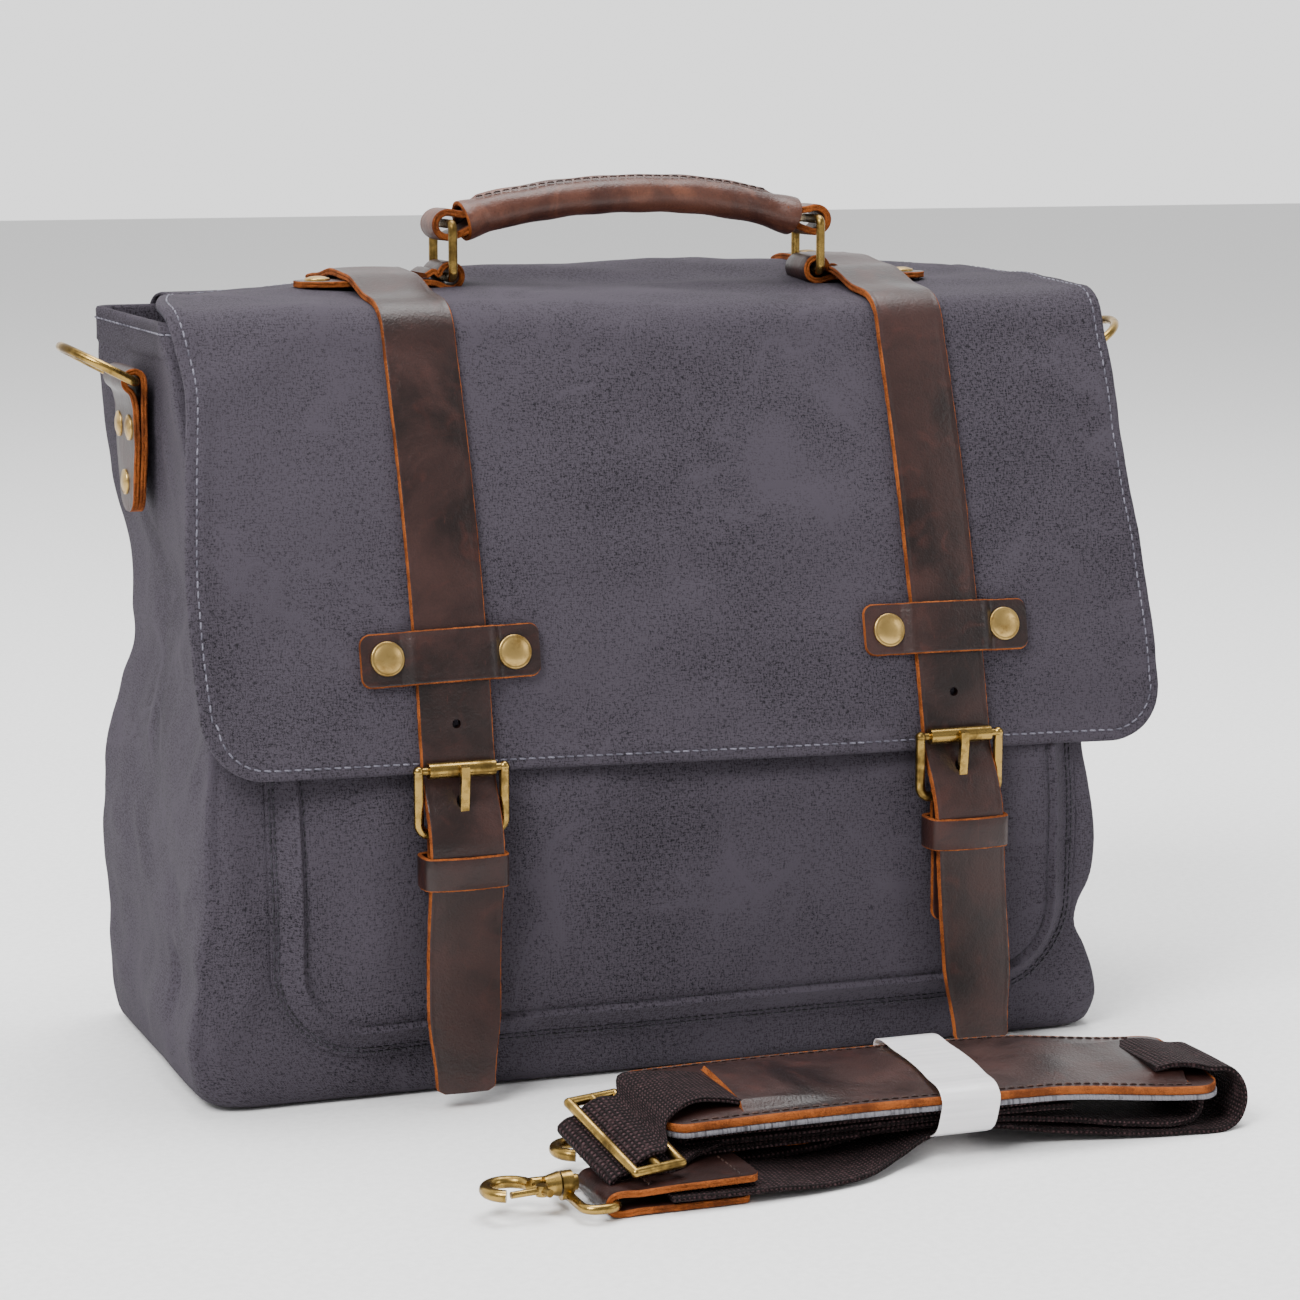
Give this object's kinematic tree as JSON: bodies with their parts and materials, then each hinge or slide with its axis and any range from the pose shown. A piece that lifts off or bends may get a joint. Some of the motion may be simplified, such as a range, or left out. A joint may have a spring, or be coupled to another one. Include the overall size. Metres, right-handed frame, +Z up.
{
  "type": "messenger bag",
  "caption": "Waxed canvas messenger bag with a full flap, leather buckle straps, a top handle, side rings and a folded shoulder strap on the floor in front.",
  "frame": {"origin": "middle of the bag's bottom face, on the floor", "axes": "+X along the bag's width, -Y towards the front with the flap and straps, +Z up"},
  "size_m": [0.4756, 0.3526, 0.36],
  "materials": {
    "waxed_canvas": "waxed woven cotton with pale crease marks",
    "lining_cotton": "plain woven cotton",
    "board": "raw board",
    "dark_leather": "oiled pull-up leather with raw tan edges",
    "handle_leather": "oiled pull-up leather, worn lighter",
    "antique_brass": "darkened and relieved plating",
    "webbing": "coarse woven cotton webbing",
    "pad_canvas": "woven cotton backing",
    "band_film": "glossy plain film"
  },
  "bodies": {
    "bag": {"back_panel": "waxed_canvas", "front_panel": "waxed_canvas", "gusset_left": "waxed_canvas", "gusset_right": "waxed_canvas", "bottom_panel": "waxed_canvas", "lining": "lining_cotton", "base_board": "board", "laptop_divider": "lining_cotton", "inner_pocket": "lining_cotton", "pocket_front": "waxed_canvas", "pocket_gusset": "waxed_canvas", "snap_sockets": "antique_brass", "side_tab_left": "dark_leather", "side_tab_right": "dark_leather", "side_rivets": "antique_brass", "back_yoke": "waxed_canvas"},
    "flap_top": {"flap_top": "waxed_canvas", "strap_top_left": "dark_leather", "strap_top_right": "dark_leather", "handle_tabs": "dark_leather", "handle_tab_rivets": "antique_brass"},
    "flap_front": {"flap_front": "waxed_canvas", "flap_facing": "lining_cotton", "strap_front_left": "dark_leather", "strap_front_right": "dark_leather", "keeper_left": "dark_leather", "keeper_right": "dark_leather", "keeper_rivets": "antique_brass"},
    "closure_left": {"strap_tail_left": "dark_leather", "chape_left": "dark_leather", "keeper_loop_left": "dark_leather", "buckle_frame_left": "antique_brass", "snap_plunger_left": "antique_brass"},
    "roller_left": {"roller_left": "antique_brass"},
    "tongue_left": {"tongue_left": "antique_brass"},
    "d_ring_left": {"d_ring_left": "antique_brass"},
    "closure_right": {"strap_tail_right": "dark_leather", "chape_right": "dark_leather", "keeper_loop_right": "dark_leather", "buckle_frame_right": "antique_brass", "snap_plunger_right": "antique_brass"},
    "roller_right": {"roller_right": "antique_brass"},
    "tongue_right": {"tongue_right": "antique_brass"},
    "d_ring_right": {"d_ring_right": "antique_brass"},
    "handle_ring_left": {"handle_ring_left": "antique_brass"},
    "handle_ring_right": {"handle_ring_right": "antique_brass"},
    "handle": {"handle_grip": "handle_leather", "handle_end_loops": "handle_leather"},
    "shoulder_strap": {"shoulder_webbing": "webbing", "shoulder_pad": "dark_leather", "pad_backing": "pad_canvas", "hank_band": "band_film", "adjuster_slide": "antique_brass", "end_tabs": "dark_leather", "hook_eyes": "antique_brass"},
    "hook_front": {"hook_front": "antique_brass"},
    "hook_gate_front": {"hook_gate_front": "antique_brass"},
    "hook_rear": {"hook_rear": "antique_brass"},
    "hook_gate_rear": {"hook_gate_rear": "antique_brass"}
  },
  "joints": [
    {"name": "flap_back_fold", "type": "hinge", "parent": "bag", "child": "flap_top", "pos_m": [0, 0.086, 0.3113], "axis": [-1, 0, 0], "range_deg": [0, 150]},
    {"name": "flap_front_fold", "type": "hinge", "parent": "flap_top", "child": "flap_front", "pos_m": [0, -0.036, 0.3148], "axis": [-1, 0, 0], "range_deg": [0, 120]},
    {"name": "closure_left_swing", "type": "hinge", "parent": "flap_front", "child": "closure_left", "pos_m": [-0.107, -0.09668, 0.162], "axis": [-1, 0, 0], "range_deg": [0, 60]},
    {"name": "roller_left_spin", "type": "hinge", "parent": "closure_left", "child": "roller_left", "pos_m": [-0.107, -0.1045, 0.135], "axis": [1, 0, 0], "continuous": true},
    {"name": "tongue_left_lift", "type": "hinge", "parent": "closure_left", "child": "tongue_left", "pos_m": [-0.107, -0.1045, 0.11], "axis": [1, 0, 0], "range_deg": [0, 12]},
    {"name": "closure_right_swing", "type": "hinge", "parent": "flap_front", "child": "closure_right", "pos_m": [0.107, -0.09668, 0.162], "axis": [-1, 0, 0], "range_deg": [0, 60]},
    {"name": "roller_right_spin", "type": "hinge", "parent": "closure_right", "child": "roller_right", "pos_m": [0.107, -0.1045, 0.135], "axis": [1, 0, 0], "continuous": true},
    {"name": "tongue_right_lift", "type": "hinge", "parent": "closure_right", "child": "tongue_right", "pos_m": [0.107, -0.1045, 0.11], "axis": [1, 0, 0], "range_deg": [0, 12]},
    {"name": "d_ring_left_swing", "type": "hinge", "parent": "bag", "child": "d_ring_left", "pos_m": [-0.2104, 0.018, 0.281], "axis": [0, 1, 0], "range_deg": [-95, 50]},
    {"name": "d_ring_right_swing", "type": "hinge", "parent": "bag", "child": "d_ring_right", "pos_m": [0.2104, 0.018, 0.281], "axis": [0, -1, 0], "range_deg": [-95, 50]},
    {"name": "handle_ring_left_tilt", "type": "hinge", "parent": "flap_top", "child": "handle_ring_left", "pos_m": [-0.077, 0.012, 0.32], "axis": [0, 1, 0], "range_deg": [-40, 40]},
    {"name": "handle_ring_right_tilt", "type": "hinge", "parent": "flap_top", "child": "handle_ring_right", "pos_m": [0.087, 0.012, 0.32], "axis": [0, 1, 0], "range_deg": [-40, 40]},
    {"name": "handle_level", "type": "hinge", "parent": "handle_ring_left", "child": "handle", "pos_m": [-0.077, 0.012, 0.342], "axis": [0, 1, 0], "range_deg": [-40, 40]},
    {"name": "shoulder_strap_lift_off", "type": "slide", "parent": "bag", "child": "shoulder_strap", "axis": [0, 0, 1], "range_m": [0, 0.15]},
    {"name": "hook_front_swivel", "type": "hinge", "parent": "shoulder_strap", "child": "hook_front", "pos_m": [-0.114, -0.245, 0.01], "axis": [1, 0, 0], "continuous": true},
    {"name": "hook_gate_front_open", "type": "hinge", "parent": "hook_front", "child": "hook_gate_front", "pos_m": [-0.1236, -0.2504, 0.01], "axis": [0, 0, 1], "range_deg": [0, 20], "stiffness_Nm_per_rad": 0.02, "springref_deg": -17.19},
    {"name": "hook_rear_swivel", "type": "hinge", "parent": "shoulder_strap", "child": "hook_rear", "pos_m": [-0.075, -0.2075, 0.01], "axis": [1, 0, 0], "continuous": true},
    {"name": "hook_gate_rear_open", "type": "hinge", "parent": "hook_rear", "child": "hook_gate_rear", "pos_m": [-0.0846, -0.2129, 0.01], "axis": [0, 0, 1], "range_deg": [0, 20], "stiffness_Nm_per_rad": 0.02, "springref_deg": -17.19}
  ],
  "couplings": [
    {"joint": "handle_ring_right_tilt", "follows": "handle_ring_left_tilt", "ratio": 1},
    {"joint": "handle_level", "follows": "handle_ring_left_tilt", "ratio": -1}
  ]
}
